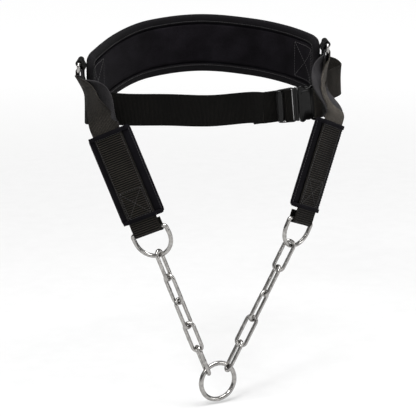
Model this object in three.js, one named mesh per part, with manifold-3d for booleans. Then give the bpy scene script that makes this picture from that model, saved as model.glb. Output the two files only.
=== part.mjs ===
import * as THREE from 'three';
import Module from 'manifold-3d';

const wasm = await Module();
wasm.setup();

// Sizes are in millimetres and angles in degrees. X runs to the right as the front is faced, Y to the back, Z up.
// The origin is the middle of the head opening, level with the ends of the band.

// Head band
const HEAD_HALF_WIDTH = 150;
const HEAD_DEPTH = 118;
const BAND_WIDTH = 73;
const BAND_THICK = 5;
const BAND_LEVEL = 5;
const BAND_RISE = 23.6;
const BAND_SLANT = 6.2;
const LINING_THICK = 1.2;
const BINDING_WIDTH = 10.5;
const BINDING_THICK = 1.2;
const BAND_CORNER = 13;
const BAND_SPANS = 36;

// Webbing
const WEBBING_WIDTH = 38;
const WEBBING_THICK = 1.6;
const CLEAR = 0.4;

// Rings at the ends of the band
const END_RING_LENGTH = 44.4;
const END_RING_HEIGHT = 5.4;
const END_RING_WIRE = 3.6;
const END_RING_BELOW = 8;
const END_RING_OUT = 7.3;
const END_RING_INSET = 3;
const RING_TAB_LENGTH = 8;

// Sleeves
const SLEEVE_SPREAD = 118;
const SLEEVE_AHEAD = 64;
const SLEEVE_DROP = 101;
const SLEEVE_WIDTH = 62;
const SLEEVE_LENGTH = 112;
const SLEEVE_THICK = 8;

// Steel below the sleeves
const TAB_LENGTH = 14;
const D_RING_INSIDE = 41.5;
const D_RING_DEPTH = 28;
const D_RING_WIRE = 5;
const CENTRAL_RING_INSIDE = 40;
const CENTRAL_RING_WIRE = 5.5;
const CENTRAL_RING_DROP = 358;
const CENTRAL_RING_ACROSS = -9;
const CENTRAL_RING_AHEAD = 85;
const CENTRAL_RING_TURN = 12;
const CENTRAL_RING_TIP = 0;
const CHAIN_GRIP = 42;
const CHAIN_VIEW = -16;
const LINK_WIRE = 4;
const LINK_INSIDE = 8.4;
const LINKS_PER_SIDE = 5;
const CHAIN_PLAY = 1.15;

// Head strap and buckle
const STRAP_AHEAD = 46;
const STRAP_DROP = 29;
const BUCKLE_HEIGHT = 45;
const BUCKLE_BODY = 25;
const BUCKLE_PLATE = 27;
const BUCKLE_THICK = 10;
const BUCKLE_PLATE_THICK = 4;
const BUCKLE_ACROSS = 103;
const BUCKLE_SLOT = 4;

const UP = new THREE.Vector3(0, 0, 1);

function point(x, y, z) {
  return new THREE.Vector3(x, y, z);
}

function moved(from, ...steps) {
  const out = from.clone();
  steps.forEach(([direction, distance]) => out.addScaledVector(direction, distance));
  return out;
}

function between(a, b, share) {
  return a.clone().lerp(b, share);
}

function facing(turn, tip) {
  const a = THREE.MathUtils.degToRad(turn);
  const b = THREE.MathUtils.degToRad(tip);
  return point(Math.sin(a) * Math.cos(b), -Math.cos(a) * Math.cos(b), Math.sin(b));
}

function paint(color, roughness, metalness) {
  return new THREE.MeshStandardMaterial({ color, roughness, metalness });
}

const FOAM = [0x1b1a1d, 0.95, 0];
const LINING = [0x1d1c20, 1, 0];
const TAPE = [0x232226, 0.9, 0];
const WEBBING = [0x2a2826, 0.85, 0];
const PLASTIC = [0x161616, 0.3, 0];
const STEEL = [0x9c9893, 0.35, 1];

// One closed body through a row of sections that all have the same number of corners
function skin(name, look, sections, closed = false) {
  const count = sections[0].length;
  const corners = sections.flat();
  const faces = [];
  const spans = closed ? sections.length : sections.length - 1;
  for (let i = 0; i < spans; i += 1) {
    const here = i * count;
    const next = ((i + 1) % sections.length) * count;
    for (let j = 0; j < count; j += 1) {
      const k = (j + 1) % count;
      faces.push([here + j, here + k, next + k], [here + j, next + k, next + j]);
    }
  }
  if (!closed) {
    const last = (sections.length - 1) * count;
    for (let j = 1; j < count - 1; j += 1) {
      faces.push([0, j + 1, j], [last, last + j, last + j + 1]);
    }
  }
  let volume = 0;
  faces.forEach(([a, b, c]) => {
    volume += corners[a].dot(corners[b].clone().cross(corners[c]));
  });
  const outward = volume < 0 ? faces.map(([a, b, c]) => [a, c, b]) : faces;
  const geometry = new THREE.BufferGeometry();
  geometry.setAttribute(
    'position',
    new THREE.Float32BufferAttribute(corners.flatMap((p) => [p.x, p.y, p.z]), 3),
  );
  geometry.setIndex(outward.flat());
  geometry.computeVertexNormals();
  const mesh = new THREE.Mesh(geometry, paint(...look));
  mesh.name = name;
  return mesh;
}

// Round wire along a flat path; the normal is that of the path's plane
function wire(name, path, normal, thick, sides, closed = true) {
  const sections = path.map((at, i) => {
    const before = path[(i + path.length - 1) % path.length];
    const after = path[(i + 1) % path.length];
    const run = after.clone().sub(at).normalize().add(at.clone().sub(before).normalize()).normalize();
    const leaving = after.clone().sub(at).normalize();
    const side = run.clone().cross(normal).normalize();
    const stretch = 1 / Math.max(0.6, run.dot(leaving));
    return Array.from({ length: sides }, (_, j) => {
      const a = ((j + 0.5) / sides) * Math.PI * 2;
      return moved(at, [side, (Math.cos(a) * thick * stretch) / 2], [normal, (Math.sin(a) * thick) / 2]);
    });
  });
  return skin(name, STEEL, sections, closed);
}

// Webbing through places that each give a position, a direction along and a direction across
function webbing(name, places, width = WEBBING_WIDTH, thick = WEBBING_THICK) {
  const sections = places.map(({ at, along, wide }) => {
    const face = along.clone().cross(wide).normalize();
    return [[-1, -1], [1, -1], [1, 1], [-1, 1]].map(
      ([a, b]) => moved(at, [wide, (a * width) / 2], [face, (b * thick) / 2]),
    );
  });
  return skin(name, WEBBING, sections);
}

// Places on a smooth run from one place to the next
function run(from, to, steps, pull = 1) {
  const reach = from.at.distanceTo(to.at) * pull;
  const places = [];
  for (let i = 0; i <= steps; i += 1) {
    const s = i / steps;
    const h = [2 * s ** 3 - 3 * s ** 2 + 1, s ** 3 - 2 * s ** 2 + s, -2 * s ** 3 + 3 * s ** 2, s ** 3 - s ** 2];
    const at = point(0, 0, 0)
      .addScaledVector(from.at, h[0])
      .addScaledVector(from.along, h[1] * reach)
      .addScaledVector(to.at, h[2])
      .addScaledVector(to.along, h[3] * reach);
    const g = [6 * s ** 2 - 6 * s, 3 * s ** 2 - 4 * s + 1, 6 * s - 6 * s ** 2, 3 * s ** 2 - 2 * s];
    const along = point(0, 0, 0)
      .addScaledVector(from.at, g[0])
      .addScaledVector(from.along, g[1] * reach)
      .addScaledVector(to.at, g[2])
      .addScaledVector(to.along, g[3] * reach)
      .normalize();
    const ease = s * s * (3 - 2 * s);
    const wide = from.wide.clone().lerp(to.wide, ease);
    wide.addScaledVector(along, -wide.dot(along)).normalize();
    places.push({ at, along, wide });
  }
  return places;
}

// Places round a bar: out is the side where the fold starts, over the way that it leaves that side
function fold(bar, wide, out, over, radius, degrees, steps = 6) {
  return Array.from({ length: steps + 1 }, (_, i) => {
    const a = THREE.MathUtils.degToRad((degrees * i) / steps);
    return {
      at: moved(bar, [out, Math.cos(a) * radius], [over, Math.sin(a) * radius]),
      along: out.clone().multiplyScalar(-Math.sin(a)).addScaledVector(over, Math.cos(a)),
      wide,
    };
  });
}

function joined(...runs) {
  const places = [];
  runs.flat().forEach((place) => {
    const last = places[places.length - 1];
    if (!last || last.at.distanceTo(place.at) > 0.05) places.push(place);
  });
  return places;
}

// The band's outer face seen from above, from the left end round the back to the right end
const BAND_PLAN = [
  { across: -1.012, back: -0.17 },
  { across: -0.988, back: -0.07 },
  { across: -0.957, back: 0.03 },
  { across: -0.893, back: 0.16 },
  { across: -0.755, back: 0.415 },
  { across: -0.609, back: 0.632 },
  { across: -0.477, back: 0.785 },
  { across: -0.35, back: 0.886 },
  { across: -0.186, back: 0.957 },
  { across: 0.0, back: 0.995 },
  { across: 0.17, back: 0.98 },
  { across: 0.33, back: 0.91 },
  { across: 0.51, back: 0.769 },
  { across: 0.675, back: 0.6 },
  { across: 0.82, back: 0.37 },
  { across: 0.905, back: 0.165 },
  { across: 0.945, back: 0.01 },
  { across: 0.937, back: -0.17 },
];
const bandCurve = new THREE.CatmullRomCurve3(
  BAND_PLAN.map(({ across, back }) => point(across * HEAD_HALF_WIDTH, back * HEAD_DEPTH, 0)),
);
bandCurve.arcLengthDivisions = 600;
const BAND_LENGTH = bandCurve.getLength();

// A point of the band: how far from its middle, how high from its middle line, how far out from its outer face
function bandPoint(distance, height, out) {
  const u = THREE.MathUtils.clamp(0.5 + distance / BAND_LENGTH, 0, 1);
  const plan = bandCurve.getPointAt(u);
  const along = bandCurve.getTangentAt(u);
  const away = point(-along.y, along.x, 0);
  const rise = BAND_LEVEL + (BAND_RISE * plan.y) / HEAD_DEPTH + (BAND_SLANT * plan.x) / HEAD_HALF_WIDTH;
  return moved(plan, [away, out], [UP, rise + height]);
}

function bandFrame(distance) {
  const step = 1;
  const at = bandPoint(distance, 0, 0);
  const along = bandPoint(distance + step, 0, 0).sub(bandPoint(distance - step, 0, 0)).normalize();
  const level = point(along.x, along.y, 0).normalize();
  return { at, along, level, away: point(-level.y, level.x, 0) };
}

// Half height of the band at a distance from its middle, with rounded corners at both ends
function bandHalf(distance, half, length) {
  const past = Math.abs(distance) - (length / 2 - BAND_CORNER);
  const drop = past > 0 ? BAND_CORNER - Math.sqrt(Math.max(0, BAND_CORNER ** 2 - past ** 2)) : 0;
  return half - drop;
}

// Distances from the band's middle that all its layers share, up to a reach either way
function bandSpots(reach) {
  const spacing = BAND_LENGTH / BAND_SPANS;
  const spots = [];
  for (let i = -BAND_SPANS / 2; i <= BAND_SPANS / 2; i += 1) {
    if (Math.abs(i * spacing) < reach - 1) spots.push(i * spacing);
  }
  return [-reach, ...spots, reach];
}

// Flat sheet laid round the band between two depths under its outer face
function bandSheet(name, look, length, half, outside, inside) {
  const straight = length / 2 - BAND_CORNER;
  const stations = bandSpots(straight);
  [0.5, 0.8, 0.96].forEach((share) => {
    stations.push(straight + share * BAND_CORNER);
    stations.unshift(-straight - share * BAND_CORNER);
  });
  return skin(name, look, stations.map((distance) => {
    const high = bandHalf(distance, half, length);
    return [[-1, outside], [1, outside], [1, inside], [-1, inside]].map(
      ([side, out]) => bandPoint(distance, side * high, out),
    );
  }));
}

function bandBinding() {
  const inset = BAND_CORNER;
  const loop = [];
  const reach = BAND_LENGTH / 2 - inset;
  const high = BAND_WIDTH / 2 - inset;
  const corners = [[1, 1, 90, 0], [1, -1, 0, -90], [-1, -1, -90, -180], [-1, 1, 180, 90]];
  corners.forEach(([sideways, upward, from, to]) => {
    for (let i = 0; i <= 4; i += 1) {
      const a = THREE.MathUtils.degToRad(from + ((to - from) * i) / 4);
      loop.push({ s: sideways * reach, h: upward * high, cos: Math.cos(a), sin: Math.sin(a) });
    }
    if (sideways === upward) return;
    const spots = bandSpots(reach).slice(1, -1);
    if (sideways > 0) spots.reverse();
    spots.forEach((s) => loop.push({ s, h: upward * high, cos: 0, sin: upward }));
  });
  const wall = BINDING_THICK;
  const outside = 0;
  const inside = -(BAND_THICK + 2 * (wall + 1.4 * CLEAR));
  const profile = [
    [inset, outside],
    [inset, inside],
    [inset - BINDING_WIDTH, inside],
    [inset - BINDING_WIDTH, inside + wall],
    [inset - wall, inside + wall],
    [inset - wall, outside - wall],
    [inset - BINDING_WIDTH, outside - wall],
    [inset - BINDING_WIDTH, outside],
  ];
  return skin('band_binding', TAPE, loop.map(({ s, h, cos, sin }) => profile.map(
    ([r, out]) => bandPoint(s + r * cos, h + r * sin, out),
  )), true);
}

// How far each end ring is turned in from the line of the band's end
const END_RINGS = {
  left: { side: -1, turn: 0 },
  right: { side: 1, turn: 9 },
};

// The end rings hang outside the band; their bars run along its end
function endRing({ side, turn }) {
  const length = END_RING_LENGTH + END_RING_WIRE;
  const frame = bandFrame(side * (BAND_LENGTH / 2 - END_RING_INSET));
  const drop = BAND_WIDTH / 2 - END_RING_BELOW;
  const centre = moved(frame.at, [UP, drop], [frame.away, END_RING_OUT]);
  const half = (END_RING_HEIGHT + END_RING_WIRE) / 2;
  const swing = THREE.MathUtils.degToRad(-side * turn);
  return {
    centre,
    wide: frame.level.clone().multiplyScalar(side).applyAxisAngle(UP, swing),
    away: frame.away.clone().applyAxisAngle(UP, swing),
    upper: moved(centre, [UP, half]),
    lower: moved(centre, [UP, -half]),
    half,
    length,
  };
}

function endRingWire(name, ring) {
  const bend = END_RING_WIRE * 0.8;
  const reach = ring.length / 2 - bend;
  const high = ring.half - bend;
  const path = [];
  [[1, 1, 90], [1, -1, 0], [-1, -1, -90], [-1, 1, 180]].forEach(([sideways, upward, start]) => {
    for (let i = 0; i <= 2; i += 1) {
      const a = THREE.MathUtils.degToRad(start - 45 * i);
      path.push(moved(
        ring.centre,
        [ring.wide, sideways * reach + Math.cos(a) * bend],
        [UP, upward * high + Math.sin(a) * bend],
      ));
    }
  });
  return wire(name, path, ring.away, END_RING_WIRE, 6);
}

// Short webbing sewn on the band's outer face: up behind the upper bar, over it and back through the ring
function ringTab(name, ring) {
  const radius = END_RING_WIRE / 2 + CLEAR + WEBBING_THICK / 2;
  const back = ring.away.clone().negate();
  const down = UP.clone().negate();
  const inner = END_RING_OUT - 2 * CLEAR - WEBBING_THICK / 2;
  const wide = ring.wide;
  const over = fold(ring.upper, wide, back, UP, radius, 265, 9);
  const last = over[over.length - 1];
  const places = [
    { at: moved(ring.upper, [back, inner], [down, RING_TAB_LENGTH]), along: UP, wide },
    ...run({ at: moved(ring.upper, [back, inner], [down, ring.half * 1.5]), along: UP, wide }, over[0], 4),
    ...over,
    { ...last, at: moved(last.at, [last.along, WEBBING_THICK]) },
  ];
  return webbing(name, joined(places), WEBBING_WIDTH - 1);
}

// Where each sleeve hangs, as shares of its spread, its distance ahead and its drop, and how it is turned
const SLEEVES = {
  left: { across: -0.975, ahead: 1.0, drop: 1.0, turn: -37.9, tip: -1.4, lean: 23.5 },
  right: { across: 1.03, ahead: 1.0, drop: 1.01, turn: 32.5, tip: -5.5, lean: -19.6 },
};

function sleeveFrame({ across, ahead, drop, turn, tip, lean }) {
  const normal = facing(turn, tip);
  const level = UP.clone().cross(normal).normalize();
  const steep = level.clone().cross(normal).normalize();
  if (steep.z > 0) steep.negate();
  if (level.x < 0) level.negate();
  const a = THREE.MathUtils.degToRad(lean);
  const down = steep.clone().multiplyScalar(Math.cos(a)).addScaledVector(level, Math.sin(a));
  const wide = level.clone().multiplyScalar(Math.cos(a)).addScaledVector(steep, -Math.sin(a));
  const centre = point(across * SLEEVE_SPREAD, -ahead * SLEEVE_AHEAD, -drop * SLEEVE_DROP);
  return { centre, normal, down, wide };
}

// The sleeve's outline and fullness along its length, as shares of its width and thickness
const SLEEVE_SHAPE = [
  { along: -0.5, width: 0.84, thick: 0.3 },
  { along: -0.485, width: 0.93, thick: 0.62 },
  { along: -0.455, width: 0.98, thick: 0.86 },
  { along: -0.4, width: 1.0, thick: 1.0 },
  { along: 0, width: 1.0, thick: 1.0 },
  { along: 0.4, width: 1.0, thick: 1.0 },
  { along: 0.455, width: 0.98, thick: 0.86 },
  { along: 0.485, width: 0.93, thick: 0.62 },
  { along: 0.5, width: 0.84, thick: 0.3 },
];
const SLEEVE_EDGE = [
  { wide: 1, out: 0.28 },
  { wide: 0.965, out: 0.72 },
  { wide: 0.9, out: 1 },
];

function sleeve(name, { centre, normal, down, wide }) {
  const quarter = SLEEVE_EDGE.map((row) => [row.wide, row.out]);
  const profile = [
    ...quarter,
    ...quarter.map(([x, y]) => [-x, y]).reverse(),
    ...quarter.map(([x, y]) => [-x, -y]),
    ...quarter.map(([x, y]) => [x, -y]).reverse(),
  ];
  return skin(name, FOAM, SLEEVE_SHAPE.map((row) => profile.map(([x, y]) => moved(
    centre,
    [down, row.along * SLEEVE_LENGTH],
    [wide, (x * row.width * SLEEVE_WIDTH) / 2],
    [normal, (y * row.thick * SLEEVE_THICK) / 2],
  ))));
}

// How the strap's two plies turn between the end ring and the sleeve: the way as a share of it, shares of the
// webbing's width ahead and out, and how far it has turned
const STRAP_TURN = {
  left: {
    outer: { way: 0.5, ahead: 0.28, out: 0.34, twist: 0.62 },
    inner: { way: 0.54, ahead: 0.3, out: 0.23, twist: 0.75 },
  },
  right: {
    outer: { way: 0.55, ahead: 0.14, out: 0.12, twist: 0.6 },
    inner: { way: 0.55, ahead: 0.33, out: -0.18, twist: 0.9 },
  },
};

function sideStrap(name, key, ring, frame) {
  const { normal, down, wide } = frame;
  const up = down.clone().negate();
  const face = SLEEVE_THICK / 2 + CLEAR + WEBBING_THICK / 2;
  const layer = WEBBING_THICK + CLEAR;
  const barRadius = D_RING_WIRE / 2 + CLEAR + WEBBING_THICK / 2;
  const low = SLEEVE_LENGTH / 2;
  const bar = moved(frame.centre, [down, low + TAB_LENGTH], [normal, face - barRadius]);
  const behind = normal.clone().negate();
  const bottom = { at: moved(frame.centre, [down, low], [normal, face]), along: up, wide };
  const top = { at: moved(frame.centre, [down, -low], [normal, face]), along: up, wide };
  const ringWide = ring.wide.clone().multiplyScalar(Math.sign(ring.wide.dot(wide)) || 1);
  const ringRadius = END_RING_WIRE / 2 + CLEAR + WEBBING_THICK / 2;
  const slope = ring.lower.clone().sub(top.at).normalize();
  const middle = ({ way, ahead, out, twist }, along) => ({
    at: moved(
      between(top.at, ring.lower, way),
      [point(0, -1, 0), ahead * WEBBING_WIDTH],
      [ring.away, out * WEBBING_WIDTH],
    ),
    along,
    wide: wide.clone().lerp(ringWide, 1 - twist).normalize(),
  });
  const outerMiddle = middle(STRAP_TURN[key].outer, slope);
  const innerMiddle = middle(STRAP_TURN[key].inner, slope.clone().negate());
  const over = fold(ring.lower, ringWide, ring.away, UP, ringRadius, 180);
  const straight = END_RING_WIRE * 2.1;
  const outerStart = { ...over[0], at: moved(over[0].at, [UP, -straight]) };
  const innerStart = { ...over[over.length - 1], at: moved(over[over.length - 1].at, [UP, -straight]) };
  const together = SLEEVE_LENGTH * 0.06;
  const outerEnd = { at: moved(top.at, [up, together]), along: up, wide };
  const innerEnd = { at: moved(outerEnd.at, [normal, -layer]), along: down, wide };
  const tail = {
    at: moved(bar, [behind, barRadius], [up, TAB_LENGTH - 3]),
    along: down,
    wide,
  };
  const places = joined(
    [tail],
    fold(bar, wide, behind, down, barRadius, 180),
    run(bottom, top, 6),
    run(outerEnd, outerMiddle, 7, 0.9),
    run(outerMiddle, outerStart, 8, 0.9),
    over,
    run(innerStart, innerMiddle, 7, 0.9),
    run(innerMiddle, innerEnd, 7, 0.9),
    [{ at: moved(innerEnd.at, [down, together - CLEAR - 1]), along: down, wide }],
  );
  return { mesh: webbing(name, places), bar };
}

// The D-ring: a straight bar in the webbing's fold and a half-round bow that hangs toward the chain
function dRing(name, bar, wide, pull) {
  const away = pull.clone().addScaledVector(wide, -pull.dot(wide)).normalize();
  const normal = wide.clone().cross(away).normalize();
  const half = (D_RING_INSIDE + D_RING_WIRE) / 2;
  const depth = D_RING_DEPTH + D_RING_WIRE;
  const path = [];
  const bend = D_RING_WIRE * 0.6;
  const sides = depth - half;
  for (let i = 0; i <= 2; i += 1) {
    const a = THREE.MathUtils.degToRad(90 - 45 * i);
    path.push([half - bend + Math.cos(a) * bend, bend - Math.sin(a) * bend]);
  }
  for (let i = 0; i <= 10; i += 1) {
    const a = THREE.MathUtils.degToRad(18 * i);
    path.push([Math.cos(a) * half, sides + Math.sin(a) * half]);
  }
  for (let i = 2; i >= 0; i -= 1) {
    const a = THREE.MathUtils.degToRad(90 - 45 * i);
    path.push([-half + bend - Math.cos(a) * bend, bend - Math.sin(a) * bend]);
  }
  const points = path.map(([x, y]) => moved(bar, [wide, x], [away, y]));
  const bowMiddle = moved(bar, [away, sides]);
  const reach = pull.clone().addScaledVector(normal, -pull.dot(normal)).normalize();
  return {
    mesh: wire(name, points, normal, D_RING_WIRE, 8),
    hook: moved(bowMiddle, [reach, half]),
    normal,
  };
}

// A link between the inner ends of two bows, turned about its own length
function link(name, from, to, normal) {
  const along = to.clone().sub(from).normalize();
  const across = along.clone().cross(normal).normalize();
  const radius = (LINK_INSIDE + LINK_WIRE) / 2;
  const path = [];
  for (let i = 0; i <= 6; i += 1) {
    const a = (Math.PI * i) / 6;
    path.push(moved(to, [along, -radius + Math.sin(a) * radius], [across, Math.cos(a) * radius]));
  }
  for (let i = 0; i <= 6; i += 1) {
    const a = (Math.PI * i) / 6;
    path.push(moved(from, [along, radius - Math.sin(a) * radius], [across, -Math.cos(a) * radius]));
  }
  return wire(name, path, normal, LINK_WIRE, 6);
}

// How each link is turned about the chain, from the D-ring down
const LINK_ROLLS = {
  left: [-65, 35, -50, 16, -112],
  right: [10, 72, -48, 18, 74],
};

function chain(key, hook, grip) {
  const along = grip.clone().sub(hook).normalize();
  const pitchLoss = LINK_WIRE + CHAIN_PLAY;
  const firstOverlap = (D_RING_WIRE + LINK_WIRE) / 2 + CHAIN_PLAY;
  const lastOverlap = (CENTRAL_RING_WIRE + LINK_WIRE) / 2 + CHAIN_PLAY;
  const whole = hook.distanceTo(grip) + firstOverlap + lastOverlap + pitchLoss * (LINKS_PER_SIDE - 1);
  const length = whole / LINKS_PER_SIDE;
  const view = facing(CHAIN_VIEW, 0);
  const flat = view.addScaledVector(along, -view.dot(along)).normalize();
  const start = moved(hook, [along, -firstOverlap]);
  return LINK_ROLLS[key].map((roll, i) => {
    const from = moved(start, [along, i * (length - pitchLoss)]);
    const to = moved(from, [along, length]);
    const normal = flat.clone().applyAxisAngle(along, THREE.MathUtils.degToRad(roll));
    return link(`chain_${key}_${i + 1}`, from, to, normal);
  });
}

// The round ring that carries the weight, and where the two chains grip it
function centralRing() {
  const normal = facing(CENTRAL_RING_TURN, CENTRAL_RING_TIP);
  const centre = point(CENTRAL_RING_ACROSS, -CENTRAL_RING_AHEAD, -CENTRAL_RING_DROP);
  const level = UP.clone().cross(normal).normalize();
  if (level.x < 0) level.negate();
  const top = UP.clone().addScaledVector(normal, -UP.dot(normal)).normalize();
  const radius = (CENTRAL_RING_INSIDE + CENTRAL_RING_WIRE) / 2;
  const path = Array.from({ length: 20 }, (_, i) => {
    const a = (Math.PI * 2 * i) / 20;
    return moved(centre, [top, Math.cos(a) * radius], [level, Math.sin(a) * radius]);
  });
  const grip = (side) => {
    const a = THREE.MathUtils.degToRad(CHAIN_GRIP * side);
    return moved(centre, [top, Math.cos(a) * radius], [level, Math.sin(a) * radius]);
  };
  return { mesh: wire('central_ring', path, normal, CENTRAL_RING_WIRE, 8), left: grip(-1), right: grip(1) };
}

// Buckle frame: along points to the right of the strap, out to the front
const buckleAlong = point(1, -0.03, 0.09).normalize();
const buckleUp = UP.clone().addScaledVector(buckleAlong, -UP.dot(buckleAlong)).normalize();
const buckleOut = buckleAlong.clone().cross(buckleUp).normalize();
const buckleCentre = point(BUCKLE_ACROSS, -STRAP_AHEAD, -STRAP_DROP);

function onBuckle(along, up, out) {
  return moved(buckleCentre, [buckleAlong, along], [buckleUp, up], [buckleOut, out]);
}

// A flat outline with windows, given a thickness and set on the buckle's frame
function buckleBlock(name, outline, windows, thick) {
  const block = new wasm.CrossSection([outline, ...windows], 'EvenOdd').extrude(thick).getMesh();
  const geometry = new THREE.BufferGeometry();
  geometry.setAttribute('position', new THREE.Float32BufferAttribute(block.vertProperties, 3));
  geometry.setIndex(Array.from(block.triVerts));
  geometry.translate(0, 0, -thick / 2);
  const placed = new THREE.Matrix4().makeBasis(buckleAlong, buckleUp, buckleOut);
  placed.setPosition(buckleCentre);
  geometry.applyMatrix4(placed);
  geometry.computeVertexNormals();
  const mesh = new THREE.Mesh(geometry, paint(...PLASTIC));
  mesh.name = name;
  return mesh;
}

function windowAt(middle, wide, high) {
  return [
    [middle - wide / 2, -high / 2],
    [middle - wide / 2, high / 2],
    [middle + wide / 2, high / 2],
    [middle + wide / 2, -high / 2],
  ];
}

const slotHeight = WEBBING_WIDTH + 1.6;
const firstSlot = -BUCKLE_PLATE * 0.62;
const secondSlot = -BUCKLE_PLATE * 0.3;
const endSlot = BUCKLE_BODY * 0.78;

function bucklePlate() {
  const high = BUCKLE_HEIGHT / 2;
  const trim = BUCKLE_HEIGHT * 0.05;
  const outline = [
    [-BUCKLE_PLATE, -high + trim * 2],
    [-BUCKLE_PLATE + trim, -high + trim],
    [-CLEAR, -high + trim * 0.4],
    [-CLEAR, high - trim * 0.4],
    [-BUCKLE_PLATE + trim, high - trim],
    [-BUCKLE_PLATE, high - trim * 2],
  ];
  const windows = [
    windowAt(firstSlot, BUCKLE_SLOT, slotHeight),
    windowAt(secondSlot, BUCKLE_SLOT, slotHeight - 0.8),
  ];
  return buckleBlock('buckle_plate', outline, windows, BUCKLE_PLATE_THICK);
}

// The body's edge dips round the two release buttons; shares of its length and of its half height
const BODY_EDGE = [
  { along: 0.0, up: 0.94 },
  { along: 0.16, up: 1.0 },
  { along: 0.26, up: 0.94 },
  { along: 0.36, up: 0.84 },
  { along: 0.52, up: 0.84 },
  { along: 0.62, up: 0.94 },
  { along: 0.72, up: 0.98 },
  { along: 0.94, up: 0.98 },
  { along: 1.0, up: 0.9 },
];

function buckleBody() {
  const high = BUCKLE_HEIGHT / 2;
  const upper = BODY_EDGE.map(({ along, up }) => [along * BUCKLE_BODY, up * high]);
  const lower = BODY_EDGE.map(({ along, up }) => [along * BUCKLE_BODY, -up * high]).reverse();
  return buckleBlock(
    'buckle_body', [...upper, ...lower], [windowAt(endSlot, BUCKLE_SLOT, slotHeight)], BUCKLE_THICK,
  );
}

// Places along a path on the buckle's frame that turns sharply but with a small radius at each corner
function threaded(path, radius) {
  const places = [];
  path.forEach(([x, z], i) => {
    const at = new THREE.Vector2(x, z);
    if (i === 0 || i === path.length - 1) {
      places.push(at);
      return;
    }
    const before = new THREE.Vector2(...path[i - 1]).sub(at).normalize();
    const after = new THREE.Vector2(...path[i + 1]).sub(at).normalize();
    const from = at.clone().addScaledVector(before, radius);
    const to = at.clone().addScaledVector(after, radius);
    [0, 0.33, 0.67, 1].forEach((s) => {
      const a = from.clone().lerp(at, s);
      const b = at.clone().lerp(to, s);
      places.push(a.lerp(b, s));
    });
  });
  return places.map((spot, i) => {
    const before = places[Math.max(0, i - 1)];
    const after = places[Math.min(places.length - 1, i + 1)];
    const step = after.clone().sub(before).normalize();
    return {
      at: onBuckle(spot.x, 0, spot.y),
      along: moved(point(0, 0, 0), [buckleAlong, step.x], [buckleOut, step.y]),
      wide: buckleUp,
    };
  });
}

// The head strap's way from the buckle to the left end of the band: shares of half width, distance ahead and drop
const STRAP_LEFT = [
  { across: 0.3, ahead: 0.98, drop: 1.06 },
  { across: -0.05, ahead: 0.97, drop: 1.12 },
  { across: -0.4, ahead: 0.96, drop: 1.0 },
  { across: -0.72, ahead: 0.94, drop: 0.92 },
  { across: -0.84, ahead: 0.88, drop: 0.86 },
  { across: -0.92, ahead: 0.785, drop: 0.8 },
  { across: -0.977, ahead: 0.67, drop: 0.78 },
  { across: -1.009, ahead: 0.55, drop: 0.88 },
  { across: -1.021, ahead: 0.43, drop: 0.92 },
];
const STRAP_RIGHT = [
  { across: 0.94, ahead: 0.87, drop: 0.83 },
  { across: 0.962, ahead: 0.68, drop: 0.78 },
  { across: 0.966, ahead: 0.48, drop: 0.74 },
  { across: 0.975, ahead: 0.26, drop: 0.66 },
  { across: 1.01, ahead: 0.0, drop: 0.5 },
  { across: 1.085, ahead: -0.18, drop: 0.3 },
  { across: 1.165, ahead: -0.42, drop: 0.12 },
  { across: 1.15, ahead: -0.8, drop: 0.0 },
];

function strapSpots(rows) {
  return rows.map(({ across, ahead, drop }) => point(
    across * HEAD_HALF_WIDTH, -ahead * STRAP_AHEAD, -drop * STRAP_DROP,
  ));
}

// Places on the band's outer face, where the strap's end is sewn down
function sewnDown(side, from, to, height) {
  return [0, 0.25, 0.5, 0.75, 1].map((share) => {
    const frame = bandFrame(side * THREE.MathUtils.lerp(from, to, share));
    return moved(frame.at, [frame.away, 3 * CLEAR + WEBBING_THICK / 2], [UP, height]);
  });
}

function placesThrough(spots, steps, start) {
  const curve = new THREE.CatmullRomCurve3(spots, false, 'centripetal');
  return Array.from({ length: steps + 1 }, (_, i) => {
    const along = curve.getTangentAt(i / steps);
    const wide = UP.clone().addScaledVector(along, -UP.dot(along)).normalize();
    if (start) wide.lerp(start, Math.max(0, 1 - i / 3)).normalize();
    return { at: curve.getPointAt(i / steps), along, wide };
  });
}

const strapDepth = BUCKLE_PLATE_THICK / 2 + CLEAR + WEBBING_THICK / 2;
const tailDepth = strapDepth + WEBBING_THICK + 2 * CLEAR;

function headStrap() {
  const plate = BUCKLE_PLATE;
  const threadedPart = threaded([
    [-plate - WEBBING_WIDTH * 0.75, -tailDepth],
    [secondSlot, -tailDepth],
    [secondSlot, strapDepth],
    [firstSlot, strapDepth],
    [firstSlot, -strapDepth],
    [-plate - WEBBING_WIDTH * 0.4, -strapDepth],
  ], WEBBING_THICK * 1.15);
  const last = threadedPart[threadedPart.length - 1];
  const spots = [last.at, ...strapSpots(STRAP_LEFT), ...sewnDown(-1, BAND_LENGTH * 0.475, BAND_LENGTH * 0.38, -21)];
  return webbing('head_strap', joined(threadedPart, placesThrough(spots, 64, last.wide)));
}

function strapLoop() {
  const body = BUCKLE_BODY;
  const depth = BUCKLE_THICK / 2 + CLEAR + WEBBING_THICK / 2;
  const threadedPart = threaded([
    [body + 7, WEBBING_THICK / 2 + CLEAR],
    [body + 2.4, depth],
    [endSlot, depth],
    [endSlot, -depth],
    [body + 2.4, -depth],
    [body + 7, -WEBBING_THICK / 2 - CLEAR],
  ], WEBBING_THICK * 0.9);
  const last = threadedPart[threadedPart.length - 1];
  const spots = [last.at, ...strapSpots(STRAP_RIGHT), ...sewnDown(1, BAND_LENGTH * 0.33, BAND_LENGTH * 0.26, -8)];
  return webbing('strap_loop', joined(threadedPart, placesThrough(spots, 34, last.wide)));
}

const harness = new THREE.Group();
harness.name = 'neck_training_harness';

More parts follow.
